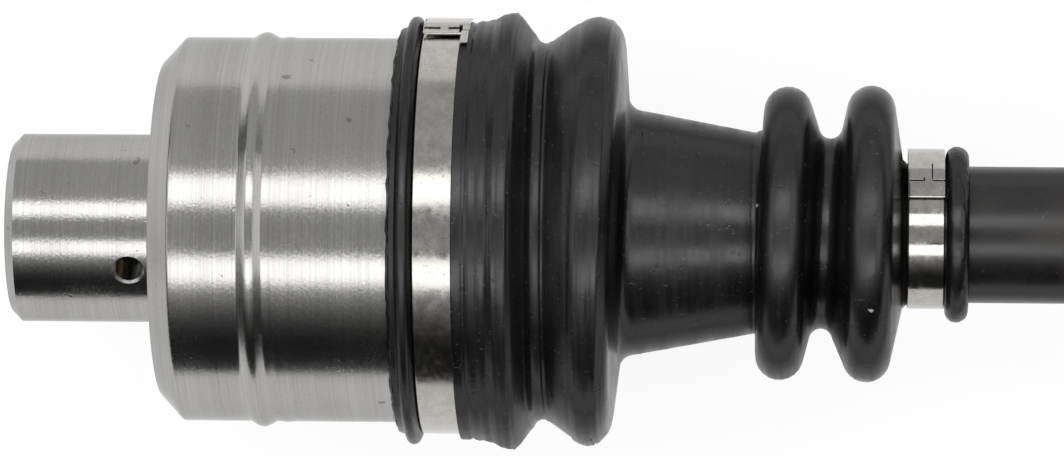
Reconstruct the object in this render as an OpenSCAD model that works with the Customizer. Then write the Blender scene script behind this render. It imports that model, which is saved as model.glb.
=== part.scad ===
// Drive shaft with a plunging tripod joint at the gearbox end and a fixed ball joint at the wheel end.
// The shaft lies along +X. The origin is on its axis, in the mouth of the splined sleeve.

/* [Gearbox sleeve] */
// Outside radius of the splined sleeve
sleeve_r = 18.8; // [17.5:0.1:20]
// Length of the sleeve in front of the joint cover
sleeve_len = 30.2; // [27:0.1:40]
// Chamfer on the sleeve's mouth
sleeve_chamfer = 1.8; // [0.5:0.1:2.5]
// Number of splines in the sleeve
bore_splines = 21; // [12:1:24]
// Radius over the tips of the bore's splines
bore_minor_r = 11.2; // [10.5:0.1:11.5]
// Radius at the roots of the bore's splines
bore_major_r = 12.3; // [12:0.1:12.5]
// Radius of the plain lead-in at the mouth
lead_in_r = 12.9; // [12.7:0.1:13.5]
// Depth of the plain lead-in
lead_in_depth = 4; // [2:0.5:6]
// Diameter of the cross hole for the roll pins
pin_hole_d = 5.1; // [4:0.1:6]
// Distance of the cross hole from the joint cover
pin_hole_setback = 5.5; // [4.5:0.1:7]
// Angle of the cross hole from upright
pin_hole_angle = 26.5; // [0:0.5:60]

/* [Joint cover] */
// Outside radius of the cover
cover_r = 38.4; // [38:0.1:40]
// Sheet thickness of the cover
cover_wall = 1.6; // [1.2:0.1:1.8]
// Length of the cover
cover_len = 61.3; // [60:0.1:64]
// Chamfer on the cover's front corner
cover_chamfer = 4.9; // [4:0.1:5.5]
// Place of the rolled bead behind the cover's front
bead_place = 20.4; // [18:0.1:30]
// Height of the rolled bead
bead_height = 1.1; // [0.6:0.1:1.4]
// Width of the rolled bead
bead_w = 5.6; // [5:0.1:8]

/* [Tripod] */
// Distance of the roller centres from the axis, as a share of the yoke's radius
pitch_share = 0.601; // [0.59:0.001:0.61]
// Radius of the round outside of a roller, as a share of the yoke's radius
roller_share = 0.3825; // [0.37:0.0005:0.385]
// Width of a roller along its trunnion, as a share of the yoke's radius
roller_width_share = 0.3142; // [0.29:0.0002:0.32]
// Room between a roller and its track, which also takes the spider's orbit when bent
track_gap = 0.42; // [0.38:0.02:0.5]
// Radius of a trunnion, as a share of the yoke's radius
trunnion_share = 0.1885; // [0.18:0.0005:0.19]
// Diameter of a bearing needle, as a share of the yoke's radius
needle_share = 0.0656; // [0.055:0.0002:0.066]
// Number of needles in a roller
needle_count = 20; // [16:1:20]
// Outside radius of the spider's hub, as a share of the yoke's radius
hub_share = 0.3825; // [0.37:0.0005:0.384]
// Width of the spider's hub, as a share of the yoke's radius
hub_width_share = 0.5464; // [0.52:0.0004:0.56]
// Thickness of the spider's hub around the bar's end
hub_wall = 3.2; // [3:0.1:3.5]
// Clear length in front of the spider, from the web of the yoke to its centre
spider_place = 32.5; // [32.2:0.1:34]
// Length of the three legs of the yoke
leg_len = 51; // [50:0.5:52]
// Width of the tracks' open side, next to the cover, as a share of the yoke's radius
track_mouth_share = 0.519; // [0.46:0.001:0.55]
// Thickness of the web that carries the legs
web = 5.2; // [5:0.1:7]

/* [Bar] */
// Radius of the bar between the boots
bar_r = 13.6; // [13.3:0.1:14]
// Radius of the bar's necks inside the boots
neck_r = 12; // [11.8:0.1:12.2]
// Distance between the centres of the two joints
joint_span = 330.5; // [320:0.5:500]

/* [Ball joint] */
// Radius of a ball
ball_r = 7.94; // [7.7:0.02:8]
// Distance of the ball centres from the joint's centre
ball_pitch_r = 30; // [29.8:0.1:30.2]
// Number of balls
ball_count = 6; // [6:1:6]
// Radius of the round outside of the inner race
race_r = 27.6; // [27.3:0.1:27.7]
// Width of the inner race
race_w = 23; // [21:0.5:24]
// Radius of the round outside of the cage
cage_r = 32.4; // [32.2:0.1:32.5]
// Width of the cage
cage_w = 25.2; // [24.5:0.1:26]
// Outside radius of the bell
bell_r = 41.5; // [41:0.1:43]
// Distance of the bell's mouth from the joint's centre
mouth_place = 17; // [16:0.1:18]
// Distance of the bearing shoulder from the joint's centre
shoulder_place = 38; // [36:0.5:44]

/* [Wheel stub] */
// Radius over the splines of the stub
stub_major_r = 13.2; // [12.8:0.1:13.6]
// Radius at the roots of the stub's splines
stub_minor_r = 12.2; // [11.8:0.1:12.4]
// Number of splines on the stub
stub_splines = 23; // [18:1:26]
// Length of the splines
stub_spline_len = 33; // [28:0.5:40]
// Radius over the thread
thread_r = 10; // [9:0.5:10.5]
// Length of the thread
thread_len = 22; // [18:0.5:28]

/* [Inner boot] */
// Thickness of the rubber
boot_wall = 1.6; // [1.3:0.1:1.8]
// Height of the two large folds above the seat on the cover
big_fold_rise = 3.6; // [3:0.1:5]
// Depth of the valley between the large folds below that seat
big_valley_drop = 2.4; // [1.5:0.1:3]
// Radius where the waist starts
waist_start_r = 24.4; // [23.5:0.1:25.5]
// Radius where the waist ends
waist_end_r = 20.1; // [19.5:0.1:20.6]
// Radius of the two small folds
small_fold_r = 29.6; // [29:0.1:31]
// Radius of the valley between the small folds
small_valley_r = 19; // [18.6:0.1:19.4]
// Length of the folded part, from the large clamp to the small one
inner_boot_len = 88.2; // [86:0.2:90]

/* [Outer boot] */
// Radius of the first fold, next to the bell
outer_fold_r = 45.4; // [45:0.1:46]
// Radius of the last fold, next to the bar
outer_last_fold_r = 23.5; // [23:0.5:25]
// Number of folds
outer_folds = 5; // [4:1:6]
// Depth of a fold
outer_fold_depth = 7; // [5.5:0.5:7.5]
// Length of the folded part, from the large clamp to the small one
outer_boot_len = 78; // [74:1:84]

/* [Clamps] */
// Width of the large clamps
big_clamp_w = 7.8; // [7:0.1:8.5]
// Width of the small clamps
small_clamp_w = 7.6; // [7:0.1:8.5]
// Thickness of a clamp's band
band = 0.6; // [0.5:0.05:0.8]
// Height of a large clamp's tongue above the boot
big_tongue_rise = 2.6; // [2:0.1:3]
// Angle that a large clamp's tongue spans
big_tongue_wrap = 40; // [30:1:60]
// Angle of a large clamp's outer end from the front, over the top
big_tongue_edge = 17; // [0:1:180]
// Height of a small clamp's tongue above the boot
small_tongue_rise = 2.9; // [2:0.1:3.2]
// Angle that a small clamp's tongue spans
small_tongue_wrap = 84; // [60:1:110]
// Angle of a small clamp's outer end from the front, over the top
small_tongue_edge = 62; // [0:1:180]

/* [Hidden] */
$fn = 96;

// Extra length of every cut past the face that it opens
overrun = 1;
// Room between two surfaces that run on each other
run_gap = 0.06;
// Room between a boot and the bar or the clamp on the bar
boot_gap = 0.15;
// Room between a ball and the parts that guide it
ball_gap = 0.16;
// Room between the spheres of the race, the cage and the bell
sphere_gap = 0.3;
// Fold fillets follow this many steps a corner
corner_steps = 6;

// Places along the axis
cover_back = sleeve_len + cover_len;
web_front = sleeve_len + cover_wall;
web_back = web_front + web;
spider_x = web_back + spider_place;
leg_tip = web_back + leg_len;
centre_x = spider_x + joint_span;

// Yoke
yoke_gap = 0.2;
yoke_r = cover_r - cover_wall - yoke_gap;
pitch_r = yoke_r * pitch_share;
roller_r = yoke_r * roller_share;
roller_w = yoke_r * roller_width_share;
trunnion_r = yoke_r * trunnion_share;
needle_d = yoke_r * needle_share;
hub_r = yoke_r * hub_share;
tail_r = hub_r - hub_wall;
hub_w = yoke_r * hub_width_share;
track_mouth_w = yoke_r * track_mouth_share;
track_r = roller_r + track_gap;
plug_seat_r = 13.2;
plug_t = 1.5;
plug_seat_depth = 6;
throat_r = 23.6;
throat_start_r = 15.4;
throat_depth_share = 0.5;
pin_countersink = 0.7;
bead_crown_r = 2.2;
bead_blend_r = 1.1;
seal_place_share = 0.724;
seal_r = yoke_r * seal_place_share;
seal_wire_r = 0.95;
seal_groove_w = 2.3;

// Tripod
needle_pitch_r = trunnion_r + run_gap + needle_d / 2;
roller_bore_r = needle_pitch_r + needle_d / 2 + run_gap;
needle_len_share = 0.9;
roller_play = 0.2;
washer_t = 0.8;
washer_rim = 2;
washer_r = trunnion_r + washer_rim;
snap_t = 1.1;
snap_rim = 1.2;
snap_r = trunnion_r + snap_rim;
snap_depth = 0.7;
trunnion_nose = 1.1;
trunnion_chamfer = 0.6;
collar_rim = 1.7;
collar_r = trunnion_r + collar_rim;

// Thrust cup, spring and the round end of the bar
dome_r = 17;
cup_r = 9.5;
cup_t = 2;
cup_rim = 2.5;
spring_wire_r = 0.7;
spring_r = 8.2;
spring_turns = 2.8;
spring_steps = 18;
spring_sides = 8;

// Bar
circlip_t = 1.2;
circlip_depth = 0.8;
circlip_lip = 1.6;
circlip_gap_angle = 12;
circlip_play = 0.05;
neck_run_out = 3;
step_chamfer = 1.6;
race_end_nose = 1.6;
race_stop_t = 2;
race_stop_r = 13.6;

// Bell, cage and race
cavity_r = cage_r + sphere_gap;
cage_bore_r = race_r + sphere_gap;
groove_r = ball_r + ball_gap;
window_h = 2 * ball_r + 2 * ball_gap;
window_w = 18.4;
window_corner_r = 3.5;
groove_mouth_angle = 55;
groove_end_angle = 42;
mouth_cone_depth = 4.8;
mouth_cone_r = 36.4;
mouth_lip_r = 30.2;
boot_seat_step = 0.9;
bell_body_end = 13;
bell_shoulder_x = 25;
bell_shoulder_r = 33;
journal_x = 31;
journal_r = 27.5;
journal_step_r = 22;
journal_step = 2.4;
stub_chamfer = 1.5;
relief_len = 2.2;
relief_depth = 1.2;
centre_drill_r = 3;
centre_drill_depth = 3.4;

// Boots and clamps
seat_wall = 1.6;
cover_overlap = 8.9;
clamp_setback = 2.4;
small_seat_r = 14.1;
shoulder_rise = 1.8;
lip_rise = 2.8;
outer_lip_rise = 2.2;
lip_len = 5.8;
lip_edge = 0.8;
lip_round_r = 1.2;
fold_r = 2;
sharp_fold_r = 2.4;
valley_round_r = 1.7;
big_round_r = 5;
small_round_r = 4.8;
small_valley_round_r = 2.3;
foot_round_r = 1;
fold_fall = 0.9;
small_fold_fall = 0.3;
first_fold_share = 0.45;
rise_share = 0.45;
flange_r = 17.5;
flange_len = 4.7;
flange_cover = 2.6;
flange_round_r = 2.3;
lap_step = 5;
big_seat_r = cover_r + seat_wall;
big_fold_r = big_seat_r + big_fold_rise;
big_valley_r = big_seat_r - big_valley_drop;
big_clamp_x = cover_back - cover_overlap;
small_clamp_x = big_clamp_x + big_clamp_w + inner_boot_len;
flange_end_x = small_clamp_x + small_clamp_w + flange_len;

bell_seat_r = bell_r - boot_seat_step;
outer_seat_r = bell_seat_r + seat_wall;
outer_big_clamp_x = centre_x - mouth_place + clamp_setback;
outer_small_clamp_x = outer_big_clamp_x - outer_boot_len - small_clamp_w;
outer_flange_x = outer_small_clamp_x - flange_len;

// Turns a piece that was drawn standing up so that it lies along +X
module along_x() {
    rotate([0, 90, 0]) children();
}

// Puts what is drawn along +Z, at the joint's centre, on a spoke of the wheel about X
module spoke(angle) {
    rotate([angle - 90, 0, 0]) children();
}

// A ring between two radii, from z0 to z1
module ring(inner_r, outer_r, z0, z1) {
    translate([0, 0, z0]) difference() {
        cylinder(r = outer_r, h = z1 - z0);
        translate([0, 0, -overrun]) cylinder(r = inner_r, h = z1 - z0 + 2 * overrun);
    }
}

// An arc strip of a ring, from angle a0 to a1 about Z
module arc_strip(inner_r, outer_r, z0, z1, a0, a1) {
    rotate([0, 0, a0]) rotate_extrude(angle = a1 - a0)
        translate([inner_r, z0]) square([outer_r - inner_r, z1 - z0]);
}

// The toothed outline of a spline, drawn flat
module spline_outline(minor_r, major_r, teeth) {
    pitch = 360 / teeth;
    foot_share = 0.30;
    tip_share = 0.18;
    polygon([for (k = [0:teeth - 1], s = [-1, 1], p = s < 0 ? [0, 1] : [1, 0])
        let (r = p == 0 ? minor_r : major_r, a = (k + s * (p == 0 ? foot_share : tip_share)) * pitch)
        [r * cos(a), r * sin(a)]]);
}

// Direction of the straight run between two stops of a fold line
function run_angle(a, b) =
    let (d = [b[0] - a[0], b[1] - b[2] - a[1] + a[2]])
    atan2(d[1], d[0]) - asin((a[2] - b[2]) / norm(d));

// Line through stops of [place, radius, rounding], joined by tangents. A rounding is positive on a crest,
// negative in a valley and zero at a corner. The inset moves the line towards the axis.
function fold_line(stops, inset = 0) = [for (i = [0:len(stops) - 1])
    let (
        s = stops[i],
        last = len(stops) - 1,
        before = run_angle(stops[max(i - 1, 0)], stops[max(i, 1)]),
        after = run_angle(stops[min(i, last - 1)], stops[min(i + 1, last)]),
        steps = s[2] == 0 ? 0 : corner_steps
    )
    for (k = [0:steps])
        let (a = before + (after - before) * k / max(steps, 1))
        [s[0], s[1] - s[2]] + (s[2] - inset) * [-sin(a), cos(a)]];

// A closed loop of [place, radius] points turned about the axis
module turned(points) {
    along_x() rotate_extrude() polygon([for (p = points) [p[1], p[0]]]);
}

// Yoke: splined sleeve, web and three legs with a round track on each side
module inner_yoke() {
    color("silver") along_x() difference() {
        union() {
            cylinder(r = sleeve_r, h = web_front);
            translate([0, 0, web_front]) cylinder(r1 = yoke_r - cover_chamfer + cover_wall / 2,
                r2 = yoke_r, h = cover_chamfer - cover_wall / 2);
            translate([0, 0, web_front + cover_chamfer - cover_wall / 2])
                cylinder(r = yoke_r, h = leg_tip - web_front - cover_chamfer + cover_wall / 2);
        }
        // chamfer on the sleeve's mouth
        difference() {
            translate([0, 0, -overrun]) cylinder(r = sleeve_r + overrun, h = sleeve_chamfer + overrun);
            translate([0, 0, -overrun]) cylinder(r1 = sleeve_r - sleeve_chamfer - overrun,
                r2 = sleeve_r + overrun, h = sleeve_chamfer + 2 * overrun);
        }
        // splined bore, plain lead-in and the seat of the plug
        translate([0, 0, -overrun])
            linear_extrude(height = web_back + 2 * overrun)
                spline_outline(bore_minor_r, bore_major_r, bore_splines);
        translate([0, 0, -overrun]) cylinder(r = lead_in_r, h = lead_in_depth + overrun);
        translate([0, 0, web_back - plug_seat_depth])
            cylinder(r = plug_seat_r, h = plug_seat_depth + overrun);
        // cross hole for the roll pins, with a countersink at each end
        translate([0, 0, sleeve_len - pin_hole_setback]) rotate([0, 0, pin_hole_angle]) rotate([0, 90, 0]) {
            cylinder(d = pin_hole_d, h = 2 * sleeve_r + 2 * overrun, center = true);
            for (side = [0, 1]) mirror([0, 0, side]) translate([0, 0, sleeve_r - pin_countersink])
                cylinder(r1 = pin_hole_d / 2, r2 = pin_hole_d / 2 + 2 * pin_countersink,
                    h = 2 * pin_countersink);
        }
        // tracks
        for (k = [0:2]) rotate([0, 0, 180 + 120 * k]) {
            translate([pitch_r, 0, web_back]) cylinder(r = track_r, h = leg_len + overrun);
            translate([0, -track_r, web_back]) cube([pitch_r, 2 * track_r, leg_len + overrun]);
            translate([pitch_r, -track_mouth_w / 2, web_back])
                cube([yoke_r, track_mouth_w, leg_len + overrun]);
        }
        // flared throat that clears the bent bar
        translate([0, 0, leg_tip - leg_len * throat_depth_share])
            cylinder(r1 = throat_start_r, r2 = throat_r, h = leg_len * throat_depth_share + overrun / 2);
        // groove of the seal ring
        ring(seal_r - seal_groove_w / 2, seal_r + seal_groove_w / 2,
            web_front - overrun, web_front + 2 * seal_wire_r);
    }
}

// Cover: pressed steel can with a rolled bead, closed over the yoke's front
module joint_cover() {
    bead_x = sleeve_len + bead_place;
    color("gainsboro") turned(concat(
        [[sleeve_len, sleeve_r]],
        fold_line([
            [sleeve_len, cover_r - cover_chamfer, 0], [sleeve_len + cover_chamfer, cover_r, 0],
            [bead_x - bead_w, cover_r, 0], [bead_x - bead_w / 2, cover_r, -bead_blend_r],
            [bead_x, cover_r + bead_height, bead_crown_r], [bead_x + bead_w / 2, cover_r, -bead_blend_r],
            [bead_x + bead_w, cover_r, 0], [cover_back, cover_r, 0]
        ]),
        [[cover_back, cover_r - cover_wall], [bead_x + bead_w / 2, cover_r - cover_wall],
            [bead_x, cover_r + bead_height - cover_wall], [bead_x - bead_w / 2, cover_r - cover_wall],
            [web_front + cover_chamfer - cover_wall / 2, cover_r - cover_wall],
            [web_front, cover_r - cover_wall / 2 - cover_chamfer], [web_front, sleeve_r]]));
}

// Seal ring between the cover's front and the yoke's web
module cover_seal_ring() {
    color("black") along_x() translate([0, 0, web_front + seal_wire_r]) rotate_extrude()
        translate([seal_r, 0]) circle(r = seal_wire_r, $fn = 24);
}

// Plug that keeps the grease out of the splined bore
module grease_plug() {
    color("goldenrod") along_x() translate([0, 0, web_back - plug_seat_depth])
        cylinder(r = plug_seat_r, h = plug_t);
}

// Cup that bears on the round end of the bar and slides with it
module thrust_cup() {
    color("dimgray") along_x() difference() {
        translate([0, 0, spider_x - dome_r - cup_t]) cylinder(r = cup_r, h = cup_t + cup_rim);
        translate([0, 0, spider_x]) sphere(r = dome_r + run_gap);
    }
}

// Points of a ring of the spring's wire at turn t, from 0 to 1
function wire_ring(t, length) =
    let (a = 360 * spring_turns * t, x = spring_wire_r + t * (length - 2 * spring_wire_r))
    [for (s = [0:spring_sides - 1]) let (b = 360 * s / spring_sides, r = spring_r + spring_wire_r * cos(b))
        [r * cos(a), r * sin(a), x + spring_wire_r * sin(b)]];

// Coil spring behind the thrust cup
module thrust_spring() {
    start = web_back - plug_seat_depth + plug_t;
    length = spider_x - dome_r - cup_t - start - run_gap;
    rings = ceil(spring_turns * spring_steps);
    n = spring_sides;
    color("gray") along_x() translate([0, 0, start]) polyhedron(
        points = [for (i = [0:rings]) each wire_ring(i / rings, length)],
        faces = [
            [for (s = [0:n - 1]) s],
            for (i = [0:rings - 1], s = [0:n - 1])
                [i * n + s, (i + 1) * n + s, (i + 1) * n + (s + 1) % n, i * n + (s + 1) % n],
            [for (s = [n - 1:-1:0]) rings * n + s]
        ]);
}

// Spider: hub with three trunnions, grooved for the snap rings
module tripod_spider() {
    washer_x = pitch_r + roller_w / 2 + roller_play;
    tip = washer_x + washer_t + snap_t + trunnion_nose;
    color("slategray") translate([spider_x, 0, 0]) difference() {
        union() {
            along_x() cylinder(r = hub_r, h = hub_w, center = true);
            for (k = [0:2]) spoke(90 + 120 * k) {
                cylinder(r = trunnion_r, h = tip - trunnion_chamfer);
                translate([0, 0, tip - trunnion_chamfer])
                    cylinder(r1 = trunnion_r, r2 = trunnion_r - trunnion_chamfer, h = trunnion_chamfer);
                cylinder(r = collar_r, h = pitch_r - roller_w / 2 - roller_play);
            }
        }
        along_x() cylinder(r = tail_r, h = hub_w + 2 * overrun, center = true);
        for (k = [0:2]) spoke(90 + 120 * k)
            ring(trunnion_r - snap_depth, trunnion_r + overrun,
                washer_x + washer_t, washer_x + washer_t + snap_t);
    }
}

// Roller: a round-backed ring on needles
module tripod_roller(k) {
    color("lightsteelblue") translate([spider_x, 0, 0]) spoke(90 + 120 * (k - 1)) translate([0, 0, pitch_r])
        difference() {
            intersection() {
                sphere(r = roller_r);
                cylinder(r = roller_r + overrun, h = roller_w, center = true);
            }
            cylinder(r = roller_bore_r, h = roller_w + 2 * overrun, center = true);
        }
}

// Needles of one roller
module roller_needles(k) {
    color("white") translate([spider_x, 0, 0]) spoke(90 + 120 * (k - 1)) translate([0, 0, pitch_r])
        for (n = [0:needle_count - 1]) rotate([0, 0, 360 * n / needle_count])
            translate([needle_pitch_r, 0, 0])
                cylinder(d = needle_d, h = roller_w * needle_len_share, center = true, $fn = 24);
}

// Washers that hold the rollers and needles on the trunnions
module roller_washers() {
    washer_x = pitch_r + roller_w / 2 + roller_play;
    color("gray") translate([spider_x, 0, 0]) for (k = [0:2]) spoke(90 + 120 * k)
        ring(trunnion_r, washer_r, washer_x, washer_x + washer_t);
}

// Snap rings in the trunnions' grooves
module roller_snap_rings() {
    snap_x = pitch_r + roller_w / 2 + roller_play + washer_t;
    gap_angle = 30;
    color("dimgray") translate([spider_x, 0, 0]) for (k = [0:2]) spoke(90 + 120 * k)
        arc_strip(trunnion_r - snap_depth, snap_r, snap_x, snap_x + snap_t,
            gap_angle / 2, 360 - gap_angle / 2);
}

// A circlip on the bar, with its gap at the top
module circlip(x) {
    along_x() rotate([0, 0, 180]) arc_strip(tail_r - circlip_depth, tail_r + circlip_lip, x, x + circlip_t,
        circlip_gap_angle, 360 - circlip_gap_angle);
}

// Circlips on both sides of the spider
module spider_circlips() {
    color("dimgray") {
        circlip(spider_x - hub_w / 2 - circlip_t - circlip_play);
        circlip(spider_x + hub_w / 2 + circlip_play);
    }
}

// Bar: round end, two ends for spider and race, two necks and the full bar between the boots
module drive_bar() {
    step_in = flange_end_x - flange_cover;
    step_out = outer_flange_x + flange_cover;
    neck_in = spider_x + hub_w / 2 + circlip_t + neck_run_out;
    neck_out = centre_x - race_w / 2 - race_stop_t - neck_run_out;
    tail_end = centre_x + race_w / 2 + circlip_t + race_end_nose;
    dome_start = spider_x - sqrt(pow(dome_r, 2) - pow(tail_r, 2));
    color([0.13, 0.13, 0.14]) difference() {
        union() {
            along_x() intersection() {
                translate([0, 0, spider_x]) sphere(r = dome_r);
                translate([0, 0, dome_start - dome_r]) cylinder(r = tail_r, h = 2 * dome_r);
            }
            along_x() translate([0, 0, spider_x]) cylinder(r = tail_r, h = tail_end - spider_x);
            turned([
                [neck_in - neck_run_out + circlip_play, 0], [neck_in - neck_run_out + circlip_play, tail_r],
                [neck_in, neck_r], [step_in - step_chamfer, neck_r], [step_in, bar_r],
                [step_out, bar_r], [step_out + step_chamfer, neck_r], [neck_out, neck_r],
                [neck_out + neck_run_out, tail_r], [neck_out + neck_run_out, 0]
            ]);
        }
        along_x() for (x = [spider_x - hub_w / 2 - circlip_t - circlip_play,
                spider_x + hub_w / 2 + circlip_play, centre_x + race_w / 2 + circlip_play])
            ring(tail_r - circlip_depth, bar_r, x, x + circlip_t);
    }
}

// Places of the inner boot's folds as shares of its folded length
inner_fold_places_shares = [0.042, 0.108, 0.183, 0.283, 0.388, 0.657, 0.723, 0.8175, 0.915];

// The folded part of the inner boot: two large folds, a tapered waist and two small folds
function inner_fold_stops() =
    let (at = [for (s = inner_fold_places_shares) big_clamp_x + big_clamp_w + s * inner_boot_len])
    [
        [at[0], big_seat_r + shoulder_rise, -fold_r],
        [at[1], big_fold_r, sharp_fold_r],
        [at[2], big_valley_r, -fold_r],
        [at[3], big_fold_r - fold_fall, big_round_r],
        [at[4], waist_start_r, -fold_r],
        [at[5], waist_end_r, -foot_round_r],
        [at[6], small_fold_r - small_fold_fall, small_round_r],
        [at[7], small_valley_r, -small_valley_round_r],
        [at[8], small_fold_r, small_round_r]
    ];

// Inner boot, on the cover at one end and on the bar at the other
module inner_boot() {
    stops = inner_fold_stops();
    color([0.1, 0.1, 0.1]) turned(concat(
        [[cover_back, cover_r], [big_clamp_x - lip_len, cover_r]],
        fold_line([
            [big_clamp_x - lip_len, cover_r + lip_edge, 0],
            [big_clamp_x - lip_len / 3, big_seat_r + lip_rise, lip_round_r],
            [big_clamp_x, big_seat_r, 0]
        ]),
        fold_line(concat([[big_clamp_x + big_clamp_w, big_seat_r, 0],
            [big_clamp_x + big_clamp_w, big_seat_r + shoulder_rise, 0]], stops,
            [[small_clamp_x - lip_edge, small_seat_r + lip_edge, 0], [small_clamp_x, small_seat_r, 0]])),
        flange_line(small_clamp_x + small_clamp_w, flange_len),
        [[small_clamp_x, neck_r + boot_gap]],
        reversed(fold_line(concat(stops, [[small_clamp_x, small_seat_r, 0]]), boot_wall))));
}

// The flanged end of a boot's neck: it hooks over the step from the bar to its neck
function flange_line(x, length) = concat(
    fold_line([[x, small_seat_r, 0], [x + flange_round_r, flange_r, flange_round_r],
        [x + length - flange_round_r, flange_r, flange_round_r], [x + length, bar_r + boot_gap, 0]]),
    [[x + length - flange_cover, bar_r + boot_gap],
        [x + length - flange_cover - step_chamfer, neck_r + boot_gap]]);

function reversed(points) = [for (i = [len(points) - 1:-1:0]) points[i]];

// The folded part of the outer boot, drawn from the bar towards the bell
function outer_fold_stops() =
    let (
        x0 = outer_small_clamp_x + small_clamp_w,
        pitch = outer_boot_len / outer_folds,
        growth = (outer_fold_r - outer_last_fold_r) / (outer_folds - 1)
    )
    [for (k = [0:outer_folds - 1]) each [
        [x0 + (k + first_fold_share) * pitch, outer_last_fold_r + k * growth, sharp_fold_r],
        [x0 + (k + first_fold_share + rise_share) * pitch,
            outer_last_fold_r + (k + rise_share) * growth - outer_fold_depth, -valley_round_r]
    ]];

// Outer boot: folds that grow from the bar to the bell
module outer_boot() {
    all_stops = outer_fold_stops();
    stops = [for (i = [0:len(all_stops) - 2]) all_stops[i]];
    x0 = outer_small_clamp_x + small_clamp_w;
    x1 = outer_big_clamp_x + big_clamp_w;
    color([0.1, 0.1, 0.1]) turned(concat(
        mirrored(flange_line(-outer_small_clamp_x, flange_len)),
        fold_line(concat([[x0, small_seat_r, 0], [x0 + lip_edge, small_seat_r + lip_edge, 0]], stops,
            [[outer_big_clamp_x, outer_seat_r + shoulder_rise, 0], [outer_big_clamp_x, outer_seat_r, 0],
                [x1, outer_seat_r, 0]])),
        fold_line([[x1, outer_seat_r, 0], [x1 + lip_len / 3, outer_seat_r + outer_lip_rise, lip_round_r],
            [x1 + lip_len, bell_seat_r + lip_edge, 0]]),
        [[x1 + lip_len, bell_seat_r], [centre_x - mouth_place, bell_seat_r]],
        reversed(fold_line(concat([[x0, small_seat_r, 0]], stops,
            [[centre_x - mouth_place, outer_seat_r, 0]]), boot_wall)),
        [[x0, neck_r + boot_gap]]));
}

// A line turned round end for end, for a boot that faces the other way
function mirrored(points) = reversed([for (p = points) [-p[0], p[1]]]);

// A wedge of a disc, drawn flat, from angle a0 to a1
module wedge(r, a0, a1) {
    polygon(concat([[0, 0]], [for (k = [0:corner_steps]) let (a = a0 + (a1 - a0) * k / corner_steps)
        2 * r * [cos(a), sin(a)]]));
}

// Clamp: a band whose outer end laps over the inner one, with a raised tongue on the lap.
// The edge angle is where the outer end stops, counted from +Y towards +Z.
module clamp(x, seat_r, width, rise, wrap, edge_angle) {
    a = edge_angle + 90;
    color("whitesmoke") along_x() translate([0, 0, x]) linear_extrude(height = width) difference() {
        union() {
            circle(r = seat_r + band);
            intersection() {
                circle(r = seat_r + 2 * band);
                wedge(seat_r, a - wrap - 2 * lap_step, a);
            }
            intersection() {
                circle(r = seat_r + rise);
                wedge(seat_r, a - wrap - lap_step, a - lap_step);
            }
        }
        circle(r = seat_r);
    }
}

module inner_boot_large_clamp() {
    clamp(big_clamp_x, big_seat_r, big_clamp_w, big_tongue_rise, big_tongue_wrap, big_tongue_edge);
}

module inner_boot_small_clamp() {
    clamp(small_clamp_x + boot_gap, small_seat_r + boot_gap, small_clamp_w - 2 * boot_gap,
        small_tongue_rise, small_tongue_wrap, small_tongue_edge);
}

module outer_boot_large_clamp() {
    clamp(outer_big_clamp_x, outer_seat_r, big_clamp_w, big_tongue_rise, big_tongue_wrap, big_tongue_edge);
}

module outer_boot_small_clamp() {
    clamp(outer_small_clamp_x + boot_gap, small_seat_r + boot_gap, small_clamp_w - 2 * boot_gap,
        small_tongue_rise, small_tongue_wrap, small_tongue_edge);
}

// A ball groove: part of a torus about the joint's centre, on the spoke at the given angle
module ball_groove(angle) {
    spoke(angle) rotate([90, 0, 0]) rotate([0, 0, 90 - groove_end_angle])
        rotate_extrude(angle = groove_end_angle + groove_mouth_angle)
            translate([ball_pitch_r, 0]) circle(r = groove_r, $fn = 48);
}

function ball_angle(k) = 90 + 360 / ball_count * (k - 1);

// Inner race with a groove for each ball
module inner_race() {
    color("lightslategray") translate([centre_x, 0, 0]) difference() {
        intersection() {
            sphere(r = race_r);
            along_x() cylinder(r = race_r + overrun, h = race_w, center = true);
        }
        along_x() cylinder(r = tail_r, h = race_w + 2 * overrun, center = true);
        for (k = [1:ball_count]) ball_groove(ball_angle(k));
    }
}

// Circlip that holds the race on the bar's end
module race_circlip() {
    color("dimgray") circlip(centre_x + race_w / 2 + circlip_play);
}

// Ring between the race and the bar's neck
module race_stop_ring() {
    stop_end = centre_x - race_w / 2;
    color("gray") along_x() ring(tail_r, race_stop_r, stop_end - race_stop_t, stop_end);
}

// A flat plate with round corners, drawn about its centre
module round_window(w, h, corner_r) {
    square([w - 2 * corner_r, h], center = true);
    square([w, h - 2 * corner_r], center = true);
    for (sx = [-1, 1], sy = [-1, 1])
        translate([sx * (w / 2 - corner_r), sy * (h / 2 - corner_r)]) circle(r = corner_r, $fn = 24);
}

// Cage with a window for each ball
module ball_cage() {
    color("darkgray") translate([centre_x, 0, 0]) difference() {
        intersection() {
            sphere(r = cage_r);
            along_x() cylinder(r = cage_r + overrun, h = cage_w, center = true);
        }
        sphere(r = cage_bore_r);
        for (k = [1:ball_count]) spoke(ball_angle(k))
            linear_extrude(height = cage_r + overrun) round_window(window_h, window_w, window_corner_r);
    }
}

module joint_ball(k) {
    color("white") translate([centre_x, 0, 0]) spoke(ball_angle(k)) translate([0, 0, ball_pitch_r])
        sphere(r = ball_r);
}

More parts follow.
